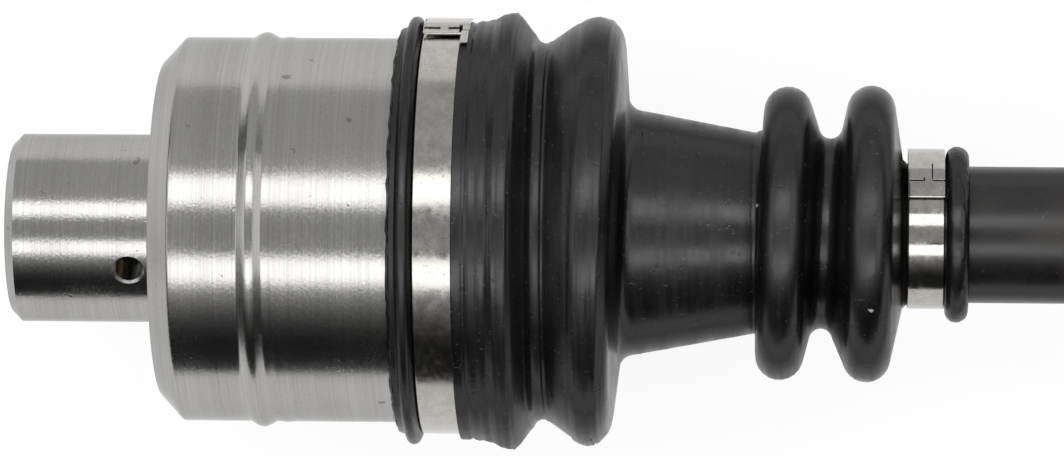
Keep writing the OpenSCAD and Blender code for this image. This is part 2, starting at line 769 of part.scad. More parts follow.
// Bell of the outer joint, with its splined and threaded stub
module bell_and_stub() {
    spline_end = shoulder_place + stub_spline_len;
    end = spline_end + relief_len + thread_len;
    boot_stop_x = outer_big_clamp_x + big_clamp_w + lip_len - centre_x;
    color("silver") translate([centre_x, 0, 0]) difference() {
        union() {
            turned([
                [-mouth_place, 0], [-mouth_place, bell_seat_r],
                [boot_stop_x, bell_seat_r],
                [boot_stop_x, bell_r], [bell_body_end, bell_r],
                [bell_shoulder_x, bell_shoulder_r], [journal_x, journal_r],
                [shoulder_place - journal_step, journal_r], [shoulder_place - journal_step, journal_step_r],
                [shoulder_place, journal_step_r], [shoulder_place, stub_minor_r],
                [spline_end, stub_minor_r], [spline_end, thread_r - relief_depth],
                [spline_end + relief_len, thread_r - relief_depth],
                [spline_end + relief_len, thread_r], [end - stub_chamfer, thread_r],
                [end, thread_r - stub_chamfer], [end, 0]
            ]);
            along_x() translate([0, 0, shoulder_place - overrun]) intersection() {
                linear_extrude(height = stub_spline_len + overrun)
                    spline_outline(stub_minor_r - overrun / 2, stub_major_r, stub_splines);
                cylinder(r1 = stub_major_r + stub_spline_len / 2, r2 = stub_major_r - stub_chamfer / 2,
                    h = stub_spline_len + overrun);
            }
        }
        along_x() sphere(r = cavity_r);
        along_x() translate([0, 0, -mouth_place - overrun]) {
            cylinder(r1 = mouth_cone_r + overrun, r2 = mouth_lip_r, h = mouth_cone_depth + overrun);
        }
        for (k = [1:ball_count]) ball_groove(ball_angle(k));
        along_x() translate([0, 0, end - centre_drill_depth])
            cylinder(r1 = 0, r2 = centre_drill_r, h = centre_drill_depth);
    }
}

inner_yoke();
joint_cover();
cover_seal_ring();
grease_plug();
thrust_spring();
thrust_cup();
tripod_spider();
tripod_roller(1);  // tripod_roller_1
tripod_roller(2);  // tripod_roller_2
tripod_roller(3);  // tripod_roller_3
roller_needles(1);  // roller_needles_1
roller_needles(2);  // roller_needles_2
roller_needles(3);  // roller_needles_3
roller_washers();
roller_snap_rings();
spider_circlips();
inner_boot();
inner_boot_large_clamp();
inner_boot_small_clamp();
drive_bar();
inner_race();
race_circlip();
race_stop_ring();
ball_cage();
joint_ball(1);  // joint_ball_1
joint_ball(2);  // joint_ball_2
joint_ball(3);  // joint_ball_3
joint_ball(4);  // joint_ball_4
joint_ball(5);  // joint_ball_5
joint_ball(6);  // joint_ball_6
bell_and_stub();
outer_boot();
outer_boot_large_clamp();
outer_boot_small_clamp();
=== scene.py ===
import logging
import math
from dataclasses import dataclass
from enum import Enum
from typing import Callable, Sequence

import bpy
from mathutils import Matrix, Vector


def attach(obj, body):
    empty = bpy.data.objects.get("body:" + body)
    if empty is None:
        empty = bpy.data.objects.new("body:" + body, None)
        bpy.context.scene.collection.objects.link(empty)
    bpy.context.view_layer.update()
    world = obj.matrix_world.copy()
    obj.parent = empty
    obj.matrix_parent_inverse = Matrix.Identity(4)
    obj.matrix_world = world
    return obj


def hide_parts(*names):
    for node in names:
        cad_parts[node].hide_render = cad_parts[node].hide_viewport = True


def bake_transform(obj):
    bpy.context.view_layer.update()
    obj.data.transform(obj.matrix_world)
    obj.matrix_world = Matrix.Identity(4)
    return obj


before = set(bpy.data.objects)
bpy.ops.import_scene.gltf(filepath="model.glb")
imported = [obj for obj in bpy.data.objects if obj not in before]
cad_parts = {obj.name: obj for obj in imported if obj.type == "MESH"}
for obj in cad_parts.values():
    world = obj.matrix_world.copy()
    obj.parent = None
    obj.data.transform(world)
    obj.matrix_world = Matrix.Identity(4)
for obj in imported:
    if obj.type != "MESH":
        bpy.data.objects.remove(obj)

LOG = logging.getLogger("drive_shaft")
MM = 0.001
TURN = 2 * math.pi
LONG_RUN = 2.4
SUPPORT = 0.35
WELD = 0.002
NEAR = 0.05

Point = tuple[float, float]
Socket = bpy.types.NodeSocket
Triple = tuple[float, float, float]
Colour = Triple
Mark = tuple[float, float, float, float]


class Body(Enum):
    """Moving bodies that new pieces ride on."""

    HOUSING = "inner_housing"
    CUP = "spring_cup"
    SHAFT = "shaft"
    BELL = "outer_bell"


class Slot(Enum):
    """Names of material slots."""

    COVER = "cover_steel"
    BELL = "bell_steel"
    SPRING = "spring_steel"
    CLAMP = "clamp_steel"
    BOOT = "boot_rubber"


# ---------------------------------------------------------------- mesh steps


def deselect_all() -> None:
    """Leaves edit mode and clears the object selection."""
    if bpy.context.mode != "OBJECT":
        bpy.ops.object.mode_set(mode="OBJECT")
    bpy.ops.object.select_all(action="DESELECT")


def on_arc(place: float, radius: float, degrees: float) -> Vector:
    """A point at an angle in degrees from +Y towards +Z, in the units of its arguments."""
    a = math.radians(degrees)
    return Vector((place, radius * math.cos(a), radius * math.sin(a)))


def angle_of(point: Vector) -> float:
    """The angle of a point about the axis, in degrees from +Y towards +Z."""
    return math.degrees(math.atan2(point.z, point.y))


class Mesher:
    """Edit-mode steps on one new mesh. Every length is in millimetres."""

    def __init__(self, name: str, source: bpy.types.Object | None = None) -> None:
        """Starts from a single vertex at the origin, or from a copy of another mesh.

        Args:
            name: Name of the new piece.
            source: Object whose mesh is copied, if any.
        """
        deselect_all()
        if source is None:
            bpy.ops.mesh.primitive_plane_add(size=MM)
            self.obj = bpy.context.object
        else:
            self.obj = bpy.data.objects.new(name, source.data.copy())
            bpy.context.scene.collection.objects.link(self.obj)
            bpy.context.view_layer.objects.active = self.obj
            self.obj.select_set(True)
            self.obj.data.materials.clear()
        self.obj.name = self.obj.data.name = name
        self.edit()
        bpy.ops.mesh.select_all(action="SELECT")
        if source is None:
            bpy.ops.mesh.merge(type="CENTER")
        self.tip = Vector((0, 0, 0))

    def edit(self) -> None:
        """Enters edit mode."""
        if bpy.context.mode != "EDIT_MESH":
            bpy.ops.object.mode_set(mode="EDIT")

    def rest(self) -> None:
        """Leaves edit mode."""
        if bpy.context.mode != "OBJECT":
            bpy.ops.object.mode_set(mode="OBJECT")

    def line(self, points: Sequence[Vector]) -> "Mesher":
        """Draws a line through points by extruding the start vertex.

        Args:
            points: Points of the line.

        Returns:
            This mesher, so that calls can follow each other.
        """
        bpy.ops.transform.translate(value=(points[0] - self.tip) * MM)
        self.tip = points[0]
        for p in points[1:]:
            bpy.ops.mesh.extrude_vertices_move(TRANSFORM_OT_translate={"value": (p - self.tip) * MM})
            self.tip = p
        return self

    def spin(self, steps: int, degrees: float = 360) -> "Mesher":
        """Turns everything about the shaft's axis, from +Y towards +Z.

        Args:
            steps: Number of steps over the angle.
            degrees: Angle turned through.

        Returns:
            This mesher.
        """
        bpy.ops.mesh.select_all(action="SELECT")
        bpy.ops.mesh.spin(
            steps=steps,
            angle=-math.radians(degrees),
            center=(0, 0, 0),
            axis=(1, 0, 0),
            use_auto_merge=degrees == 360,
        )
        return self.weld()

    def weld(self) -> "Mesher":
        """Merges doubled vertices and turns every face outward.

        Returns:
            This mesher.
        """
        self.edit()
        bpy.ops.mesh.select_all(action="SELECT")
        bpy.ops.mesh.remove_doubles(threshold=WELD * MM)
        bpy.ops.mesh.normals_make_consistent(inside=False)
        return self

    def select(self, test: Callable[[Vector], bool], faces: bool = False) -> int:
        """Selects vertices, or faces by their centres, that pass a test.

        Args:
            test: Takes a point in millimetres.
            faces: True to test and select faces.

        Returns:
            How many were selected.
        """
        self.edit()
        bpy.ops.mesh.select_mode(type="FACE" if faces else "VERT")
        bpy.ops.mesh.select_all(action="DESELECT")
        self.rest()
        mesh = self.obj.data
        found = 0
        for item in mesh.polygons if faces else mesh.vertices:
            item.select = test((item.center if faces else item.co) / MM)
            found += item.select
        self.edit()
        return found

    def cut_out(self, test: Callable[[Vector], bool]) -> "Mesher":
        """Deletes the faces whose centres pass a test.

        Args:
            test: Takes a face's centre in millimetres.

        Returns:
            This mesher.
        """
        if self.select(test, faces=True):
            bpy.ops.mesh.delete(type="FACE")
        bpy.ops.mesh.select_mode(type="VERT")
        return self

    def sweep(self, marks: Sequence[float]) -> "Mesher":
        """Extrudes the drawn line along the shaft, with an edge at each mark.

        Args:
            marks: Distances from the line, in rising order.

        Returns:
            This mesher.
        """
        bpy.ops.mesh.select_all(action="SELECT")
        done = 0.0
        for mark in marks:
            bpy.ops.mesh.extrude_region_move(TRANSFORM_OT_translate={"value": ((mark - done) * MM, 0, 0)})
            done = mark
        return self

    def lean(self, place: float, reach: float, degrees: float) -> "Mesher":
        """Tips the rings near a place about Z, so that their +Y side moves along +X.

        Args:
            place: Middle of the rings along the shaft.
            reach: Distance from the middle within which a ring is tipped.
            degrees: Angle of the tip.

        Returns:
            This mesher.
        """
        self.select(lambda p: abs(p.x - place) < reach)
        bpy.ops.transform.rotate(
            value=math.radians(degrees), orient_axis="Z", center_override=(place * MM, 0, 0)
        )
        return self

    def roughen(self, test: Callable[[Vector], bool], offset: float, seed: int) -> "Mesher":
        """Scatters vertices that pass a test a little.

        Args:
            test: Takes a vertex in millimetres.
            offset: Largest move.
            seed: Makes the scatter repeatable.

        Returns:
            This mesher.
        """
        self.select(test)
        bpy.ops.transform.vertex_random(offset=offset * MM, uniform=1, seed=seed)
        return self

    def keep(self, place: float, before: bool) -> "Mesher":
        """Cuts the mesh across the shaft and keeps one side.

        Args:
            place: Where the cut is, along the shaft.
            before: True to keep the side nearer the origin.

        Returns:
            This mesher.
        """
        self.edit()
        bpy.ops.mesh.select_all(action="SELECT")
        bpy.ops.mesh.bisect(
            plane_co=(place * MM, 0, 0), plane_no=(1, 0, 0), clear_outer=before, clear_inner=not before
        )
        return self

    def modify(self, kind: str, **settings: object) -> "Mesher":
        """Adds a modifier and applies it.

        Args:
            kind: Blender's name of the modifier type.
            settings: Values of the modifier's fields.

        Returns:
            This mesher.
        """
        self.rest()
        modifier = self.obj.modifiers.new(kind.lower(), kind)
        for key, value in settings.items():
            setattr(modifier, key, value)
        bpy.ops.object.modifier_apply(modifier=modifier.name)
        return self

    def done(self, finish: "Finish", smooth_degrees: float = 35) -> bpy.types.Object:
        """Shades the mesh smooth up to an angle and gives it its finish.

        Args:
            finish: Finish of the whole piece.
            smooth_degrees: Edges sharper than this stay crisp.

        Returns:
            The finished object.
        """
        self.rest()
        bpy.ops.object.shade_smooth_by_angle(angle=math.radians(smooth_degrees))
        self.obj.data.materials.append(finish.material())
        return self.obj


@dataclass(frozen=True)
class Stop:
    """A rounded stop of a fold line: a crest if the rounding is positive, a valley if it is negative."""

    place: float
    radius: float
    rounding: float = 0.0


def run_angle(a: Stop, b: Stop) -> float:
    """Direction of the straight run that joins two stops by a tangent.

    Args:
        a: Stop where the run starts.
        b: Stop where it ends.

    Returns:
        The direction in radians.
    """
    dx = b.place - a.place
    dr = (b.radius - b.rounding) - (a.radius - a.rounding)
    return math.atan2(dr, dx) - math.asin((a.rounding - b.rounding) / math.hypot(dx, dr))


def fold_line(stops: Sequence[Stop], inset: float = 0.0, steps: int = 8) -> list[Point]:
    """The line through stops, as the CAD part draws it.

    Args:
        stops: Stops in order along the shaft.
        inset: Distance that the line is moved towards the axis.
        steps: Steps round each rounding.

    Returns:
        Points of (place, radius).
    """
    points: list[Point] = []
    last = len(stops) - 1
    for i, s in enumerate(stops):
        before = run_angle(stops[max(i - 1, 0)], stops[max(i, 1)])
        after = run_angle(stops[min(i, last - 1)], stops[min(i + 1, last)])
        count = steps if s.rounding else 0
        for k in range(count + 1):
            a = before + (after - before) * k / max(count, 1)
            reach = s.rounding - inset
            points.append((s.place - reach * math.sin(a), s.radius - s.rounding + reach * math.cos(a)))
    return points


@dataclass(frozen=True)
class Ridge:
    """A faint ring on a turned surface: raised if the height is positive, a groove if it is negative."""

    place: float
    height: float
    width: float


def ridged(points: Sequence[Point], ridges: Sequence[Ridge], step: float = 0.3) -> list[Point]:
    """Adds faint rings to a line of (place, radius) points.

    Args:
        points: The smooth line.
        ridges: Rings to add.
        step: Longest run left near a ring.

    Returns:
        The finer line with its rings.
    """
    line = [points[0]]
    for (x0, r0), (x1, r1) in zip(points, points[1:]):
        count = 1
        if any(min(x0, x1) - 3 * g.width < g.place < max(x0, x1) + 3 * g.width for g in ridges):
            count = max(1, math.ceil(math.hypot(x1 - x0, r1 - r0) / step))
        line += [(x0 + (x1 - x0) * k / count, r0 + (r1 - r0) * k / count) for k in range(1, count + 1)]
    return [(x, r + sum(g.height * math.exp(-(((x - g.place) / g.width) ** 2)) for g in ridges)) for x, r in line]


def lathe(name: str, points: Sequence[Point], steps: int = 144) -> Mesher:
    """Turns a closed line of (place, radius) points about the axis.

    A long straight run gets an extra point near each end, so that it shades flat.

    Args:
        name: Name of the new piece.
        points: The line. Its last point is joined to its first.
        steps: Steps round the axis.

    Returns:
        The mesher that holds the turned mesh.
    """
    closed = [*points, points[0]]
    loop = [Vector((*points[0], 0))]
    for (x0, r0), (x1, r1) in zip(closed, closed[1:]):
        a, b = Vector((x0, r0, 0)), Vector((x1, r1, 0))
        run = (b - a).length
        if run > LONG_RUN:
            loop += [a.lerp(b, SUPPORT / run), b.lerp(a, SUPPORT / run)]
        loop.append(b)
    return Mesher(name).line(loop).spin(steps)


# ---------------------------------------------------------------- finishes


class Graph:
    """A material's node tree, with short calls that build it."""

    def __init__(self, tree: bpy.types.NodeTree) -> None:
        """Takes the node tree of a material or a world and clears it."""
        self.tree = tree
        self.tree.nodes.clear()

    def add(self, kind: str, inputs: dict[str | int, object] | None = None, **fields: object) -> bpy.types.Node:
        """Adds a node.

        Args:
            kind: Node type without the "ShaderNode" that it starts with.
            inputs: Constants or sockets for the node's inputs, by name or number.
            fields: Values of the node's own fields.

        Returns:
            The node.
        """
        node = self.tree.nodes.new("ShaderNode" + kind)
        for key, value in fields.items():
            setattr(node, key, value)
        for key, value in (inputs or {}).items():
            if isinstance(value, bpy.types.NodeSocket):
                self.tree.links.new(value, node.inputs[key])
            elif isinstance(value, tuple) and len(value) == 3 and node.inputs[key].type == "RGBA":
                node.inputs[key].default_value = (*value, 1)
            else:
                node.inputs[key].default_value = value
        return node

    def coords(self, scale: Triple, location: Triple = (0, 0, 0)) -> Socket:
        """Object coordinates, scaled to features per metre along each axis and then shifted."""
        source = self.add("TexCoord").outputs["Object"]
        return self.add("Mapping", {"Vector": source, "Scale": scale, "Location": location}).outputs[0]

    def noise(self, scale: Triple, detail: float = 3, rough: float = 0.55, shift: float = 0) -> Socket:
        """Noise with its own scale along each axis.

        Args:
            scale: Features per metre along X, Y and Z.
            detail: Octaves.
            rough: Weight of the finer octaves.
            shift: Moves the pattern, so that two layers differ.

        Returns:
            A socket with values about 0.5.
        """
        vector = self.coords(scale, (shift, shift, shift))
        inputs = {"Vector": vector, "Scale": 1, "Detail": detail, "Roughness": rough}
        return self.add("TexNoise", inputs).outputs[0]

    def span(self, value: Socket, low: float, high: float, to_low: float = 0, to_high: float = 1) -> Socket:
        """Maps the range from low to high onto to_low to to_high, and clamps it."""
        inputs = {"Value": value, "From Min": low, "From Max": high, "To Min": to_low, "To Max": to_high}
        return self.add("MapRange", inputs).outputs[0]

    def marks(self, places: Sequence[Mark]) -> Socket:
        """A mask of single marks with ragged edges.

        Args:
            places: Each mark's x, y, z and size in millimetres.

        Returns:
            A socket that is 1 inside a mark.
        """
        source = self.add("TexCoord").outputs["Object"]
        ragged = self.noise((1500, 900, 900), 2, 0.6, 4.9)
        mask: Socket | float = 0.0
        for x, y, z, size in places:
            middle = (x * MM, y * MM, z * MM)
            node = self.add("VectorMath", {0: source, 1: middle}, operation="DISTANCE")
            away = self.math("MULTIPLY", node.outputs["Value"], self.span(ragged, 0.3, 0.7, 0.5, 1.6))
            mask = self.math("MAXIMUM", mask, self.span(away, 0.35 * size * MM, 0.6 * size * MM, 1, 0))
        return mask

    def toward_rim(self, middle: float, rim: float) -> Socket:
        """A value for faces square to the view that turns into another towards the outline."""
        return self.span(self.add("LayerWeight").outputs["Facing"], 0.18, 0.5, middle, rim)

    def math(self, operation: str, a: object, b: object = 0.0) -> Socket:
        """One step of arithmetic, by Blender's name of the operation."""
        return self.add("Math", {0: a, 1: b}, operation=operation).outputs[0]

    def mix(self, share: object, a: object, b: object) -> Socket:
        """A colour between two others.

        Args:
            share: 0 for the first colour and 1 for the second.
            a: First colour or socket.
            b: Second colour or socket.

        Returns:
            The mixed colour.
        """
        node = self.add("Mix", {"Factor": share}, data_type="RGBA")
        for index, value in ((6, a), (7, b)):
            if isinstance(value, bpy.types.NodeSocket):
                self.tree.links.new(value, node.inputs[index])
            else:
                node.inputs[index].default_value = (*value, 1)
        return node.outputs[2]

    def bump(self, height: Socket, depth: float, normal: Socket | None = None) -> Socket:
        """A bumped normal.

        Args:
            height: Height from 0 to 1.
            depth: Depth of a full step, in millimetres.
            normal: Normal to build on.

        Returns:
            The normal socket.
        """
        inputs: dict[str | int, object] = {"Height": height, "Distance": depth * MM, "Strength": 1}
        if normal is not None:
            inputs["Normal"] = normal
        return self.add("Bump", inputs).outputs[0]


@dataclass(frozen=True)
class Finish:
    """A surface finish. Each kind builds its own node tree once."""

    name: str

    def material(self) -> bpy.types.Material:
        """The finish's material, built at the first call.

        Returns:
            The material.
        """
        found = bpy.data.materials.get(self.name)
        if found is None:
            found = bpy.data.materials.new(self.name)
            found.use_nodes = True
            graph = Graph(found.node_tree)
            surface = self.surface(graph)
            graph.add("OutputMaterial", {"Surface": surface})
        return found

    def surface(self, graph: Graph) -> Socket:
        """Builds the shader in a graph and returns its socket."""
        raise NotImplementedError


@dataclass(frozen=True)
class TurnedSteel(Finish):
    """Bare steel turned on a lathe: fine rings about X, streaks, smudges and small nicks."""

    dark: Colour = (0.325, 0.32, 0.31)
    light: Colour = (0.45, 0.445, 0.435)
    roughness: float = 0.20
    anisotropy: float = 0.55
    rings: float = 2600
    depth: float = 0.006
    smudge: float = 0.10
    grain: float = 0.030
    marks: tuple[Mark, ...] = ()

    def surface(self, graph: Graph) -> Socket:
        """Rings, bands and grain in tone and bump, with smudges, nicks and marks.

        Args:
            graph: Tree to build in.

        Returns:
            The shader socket.
        """
        rings = graph.noise((self.rings, 5, 5), 3, 0.6)
        bands = graph.noise((150, 3, 3), 3, 0.6, 3.1)
        grain = graph.noise((2300, 1300, 1300), 3, 0.65, 7.7)
        cloud = graph.noise((30, 34, 34), 4, 0.6, 1.3)
        nicks = graph.span(graph.noise((460, 460, 460), 2, 0.5, 5.5), 0.72, 0.77)
        tone = graph.math("ADD", graph.math("MULTIPLY", rings, 0.4), graph.math("MULTIPLY", bands, 0.35))
        tone = graph.math("ADD", tone, graph.math("MULTIPLY", grain, 0.25))
        colour = graph.mix(graph.span(tone, 0.36, 0.64), self.dark, self.light)
        stained = graph.mix(graph.span(cloud, 0.52, 0.75, 0, 0.25), colour, (0.27, 0.25, 0.225))
        worn = graph.mix(graph.math("MULTIPLY", nicks, 0.45), stained, (0.12, 0.11, 0.10))
        if self.marks:
            worn = graph.mix(graph.math("MULTIPLY", graph.marks(self.marks), 0.5), worn, (0.07, 0.065, 0.06))
        rough = graph.math(
            "ADD",
            graph.span(grain, 0.25, 0.75, self.roughness - 0.04, self.roughness + 0.06),
            graph.span(cloud, 0.42, 0.7, 0, self.smudge),
        )
        lined = graph.bump(rings, self.depth)
        grained = graph.bump(grain, self.grain, lined)
        inputs = {
            "Base Color": worn,
            "Metallic": 1,
            "Roughness": rough,
            "Specular Tint": (0.72, 0.72, 0.72),
            "Anisotropic": self.anisotropy,
            "Anisotropic Rotation": 0.25,
            "Tangent": graph.add("Tangent", direction_type="RADIAL", axis="X").outputs[0],
            "Normal": graph.bump(nicks, -0.02, grained),
        }
        return graph.add("BsdfPrincipled", inputs).outputs[0]


@dataclass(frozen=True)
class StripSteel(Finish):
    """Rolled stainless strip, bright, a little wavy and smudged."""

    dark: Colour = (0.37, 0.355, 0.335)
    light: Colour = (0.46, 0.445, 0.425)
    roughness: float = 0.12
    wave: float = 0.025

    def surface(self, graph: Graph) -> Socket:
        """Clouded tone and roughness, with specks and a faint wave.

        Args:
            graph: Tree to build in.

        Returns:
            The shader socket.
        """
        cloud = graph.noise((420, 340, 340), 4, 0.7, 2.2)
        smear = graph.noise((900, 60, 60), 3, 0.6, 4.1)
        wave = graph.noise((190, 190, 190), 2, 0.5, 9.3)
        specks = graph.span(graph.noise((1700, 1700, 1700), 2, 0.5, 6.1), 0.62, 0.72)
        fine = graph.noise((2200, 1500, 1500), 3, 0.65, 3.3)
        colour = graph.mix(graph.span(cloud, 0.35, 0.65), self.dark, self.light)
        spotted = graph.mix(graph.math("MULTIPLY", specks, 0.4), colour, (0.12, 0.10, 0.085))
        rough = graph.span(cloud, 0.35, 0.72, self.roughness, self.roughness + 0.16)
        waved = graph.bump(wave, self.wave)
        inputs = {
            "Base Color": spotted,
            "Metallic": 1,
            "Roughness": rough,
            "Normal": graph.bump(fine, 0.006, graph.bump(smear, 0.004, waved)),
        }
        return graph.add("BsdfPrincipled", inputs).outputs[0]


@dataclass(frozen=True)
class GroundSteel(Finish):
    """Hardened or ground steel of the pieces inside, by tone and roughness."""

    tone: Colour = (0.40, 0.40, 0.41)
    roughness: float = 0.25
    oil: float = 0.3

    def surface(self, graph: Graph) -> Socket:
        """Even tone with a thin clouded film of oil.

        Args:
            graph: Tree to build in.

        Returns:
            The shader socket.
        """
        grain = graph.noise((1400, 1400, 1400), 3, 0.6, 1.7)
        cloud = graph.noise((90, 90, 90), 3, 0.6, 8.3)
        dark = tuple(c * 0.68 for c in self.tone)
        colour = graph.mix(graph.span(cloud, 0.35, 0.65), self.tone, dark)
        oiled = graph.mix(graph.span(cloud, 0.5, 0.8, 0, self.oil), colour, (0.16, 0.12, 0.06))
        inputs = {
            "Base Color": oiled,
            "Metallic": 1,
            "Roughness": graph.span(grain, 0.3, 0.7, self.roughness - 0.04, self.roughness + 0.08),
            "Coat Weight": graph.span(cloud, 0.45, 0.7, 0, self.oil),
            "Normal": graph.bump(grain, 0.004),
        }
        return graph.add("BsdfPrincipled", inputs).outputs[0]


@dataclass(frozen=True)
class Rubber(Finish):
    """Moulded black rubber with mould streaks, dust and light spots at given places: a painted glint and a pale
    fibre.
    """

    dark: Colour = (0.0035, 0.0036, 0.0038)
    light: Colour = (0.0100, 0.0104, 0.0102)
    roughness: float = 0.25
    dust: float = 0.16
    marks: tuple[Mark, ...] = ()

    def surface(self, graph: Graph) -> Socket:
        """Streaks, lumps and pits, with dust, light spots that include a painted glint, and a rim that reflects
        less.

        Args:
            graph: Tree to build in.

        Returns:
            The shader socket.
        """
        streak = graph.noise((420, 26, 26), 4, 0.65, 0.6)
        cloud = graph.noise((46, 46, 46), 4, 0.6, 3.9)
        grain = graph.noise((1900, 1900, 1900), 3, 0.65, 7.1)
        lumps = graph.noise((150, 120, 120), 3, 0.5, 2.9)
        specks = graph.span(graph.noise((1300, 1300, 1300), 1, 0.5, 5.2), 0.70, 0.745)
        pits = graph.span(graph.noise((520, 520, 520), 2, 0.5, 8.8), 0.66, 0.72)
        tone = graph.math("ADD", graph.math("MULTIPLY", streak, 0.5), graph.math("MULTIPLY", cloud, 0.5))
        colour = graph.mix(graph.span(tone, 0.38, 0.66), self.dark, self.light)
        dusty = graph.mix(graph.math("MULTIPLY", specks, self.dust), colour, (0.26, 0.25, 0.235))
        if self.marks:
            # Light spots at the given marks. On the boot one is a painted glint and the other a pale fibre.
            dusty = graph.mix(graph.marks(self.marks), dusty, (0.45, 0.45, 0.44))
        rough = graph.math(
            "ADD",
            graph.span(streak, 0.3, 0.7, self.roughness - 0.08, self.roughness + 0.08),
            graph.span(cloud, 0.4, 0.7, 0, 0.12),
        )
        waved = graph.bump(lumps, 0.13)
        streaked = graph.bump(streak, 0.08, waved)
        pitted = graph.bump(pits, -0.03, streaked)
        inputs = {
            "Base Color": dusty,
            "Roughness": rough,
            "Specular IOR Level": graph.toward_rim(0.61, 0.10),
            "Normal": graph.bump(grain, 0.006, pitted),
        }
        return graph.add("BsdfPrincipled", inputs).outputs[0]


@dataclass(frozen=True)
class SatinPaint(Finish):
    """Thin satin black paint over a turned bar, with dust and a faint orange peel."""

    colour: Colour = (0.008, 0.008, 0.0085)
    roughness: float = 0.27

    def surface(self, graph: Graph) -> Socket:
        """Clouded tone with dust, turned lines and orange peel under a thin coat.

        Args:
            graph: Tree to build in.

        Returns:
            The shader socket.
        """
        peel = graph.noise((700, 500, 500), 2, 0.5, 1.1)
        lines = graph.noise((900, 40, 40), 3, 0.6, 4.4)
        cloud = graph.noise((60, 60, 60), 3, 0.6, 6.6)
        specks = graph.span(graph.noise((1300, 1300, 1300), 1, 0.5, 2.7), 0.735, 0.78)
        tone = graph.mix(graph.span(cloud, 0.4, 0.7), self.colour, (0.022, 0.0195, 0.0175))
        dusty = graph.mix(graph.math("MULTIPLY", specks, 0.35), tone, (0.22, 0.19, 0.16))
        lined = graph.bump(lines, 0.008)
        inputs = {
            "Base Color": dusty,
            "Roughness": graph.span(cloud, 0.35, 0.7, self.roughness - 0.05, self.roughness + 0.12),
            "Specular IOR Level": graph.toward_rim(0.5, 0.15),
            "Coat Weight": graph.toward_rim(0.15, 0.0),
            "Coat Roughness": 0.3,
            "Normal": graph.bump(peel, 0.016, lined),
        }
        return graph.add("BsdfPrincipled", inputs).outputs[0]


TURNED = TurnedSteel("sleeve_turned_steel")
COVER = TurnedSteel(
    "cover_drawn_steel",
    roughness=0.19,
    rings=2100,
    depth=0.005,
    smudge=0.08,
    grain=0.020,
    marks=((56.6, 30.0, 24.0, 1.6), (69.6, 21.4, 31.9, 1.1), (75.4, -34.0, 17.8, 1.5), (61.0, 33.4, 18.9, 0.9)),
)
BELL = TurnedSteel("bell_turned_steel", dark=(0.27, 0.27, 0.265), light=(0.41, 0.405, 0.395), roughness=0.26)
THREAD = TurnedSteel("thread_steel", dark=(0.26, 0.26, 0.26), light=(0.46, 0.455, 0.45), anisotropy=0.2)
STRIP = StripSteel("clamp_strip_steel", roughness=0.10)
BRIGHT_STRIP = StripSteel("bright_strip_steel", roughness=0.06, wave=0.012)
HARD = GroundSteel("hardened_steel", (0.34, 0.34, 0.35), 0.3)
BEARING = GroundSteel("bearing_steel", (0.66, 0.66, 0.67), 0.1, 0.2)
SPRING = GroundSteel("blued_spring_steel", (0.20, 0.21, 0.24), 0.28)
PLUG = GroundSteel("plug_brass", (0.62, 0.44, 0.18), 0.3)
# The boot's first mark is a painted glint; the second is a pale fibre.
BOOT = Rubber("moulded_boot_rubber", marks=((171.7, -15.0, 25.5, 0.8), (149.1, 5.4, 19.6, 0.5)))
SEAL = Rubber("seal_ring_rubber", (0.02, 0.02, 0.02), (0.05, 0.05, 0.05), 0.5, 0.2)
BAR = SatinPaint("bar_satin_paint")

FINISHED_NODES: tuple[tuple[Finish, str], ...] = (
    (TURNED, "inner_yoke"),
    (SEAL, "cover_seal_ring"),
    (PLUG, "grease_plug"),
    (HARD, "thrust_cup tripod_spider roller_washers inner_race race_stop_ring ball_cage"),
    (BEARING, " ".join(f"tripod_roller_{k} roller_needles_{k}" for k in (1, 2, 3))),
    (BEARING, " ".join(f"joint_ball_{k}" for k in range(1, 7))),
    (SPRING, "roller_snap_rings spider_circlips race_circlip"),
    (BAR, "drive_bar"),
)


def fit(piece: bpy.types.Object, node: str, body: Body | None = None) -> None:
    """Puts a rigid piece on its body, in a CAD node's place.

    Args:
        piece: The finished piece.
        node: CAD node that it replaces.
        body: Body that it rides on. None for a piece that rides on no body.
    """
    if body is not None:
        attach(piece, body.value)
    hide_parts(node)


def bend(piece: bpy.types.Object) -> None:
    """Bakes a piece's place into its mesh and leaves it on no body.

    Args:
        piece: The finished piece.
    """
    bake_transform(piece)


# ---------------------------------------------------------------- sub-assemblies


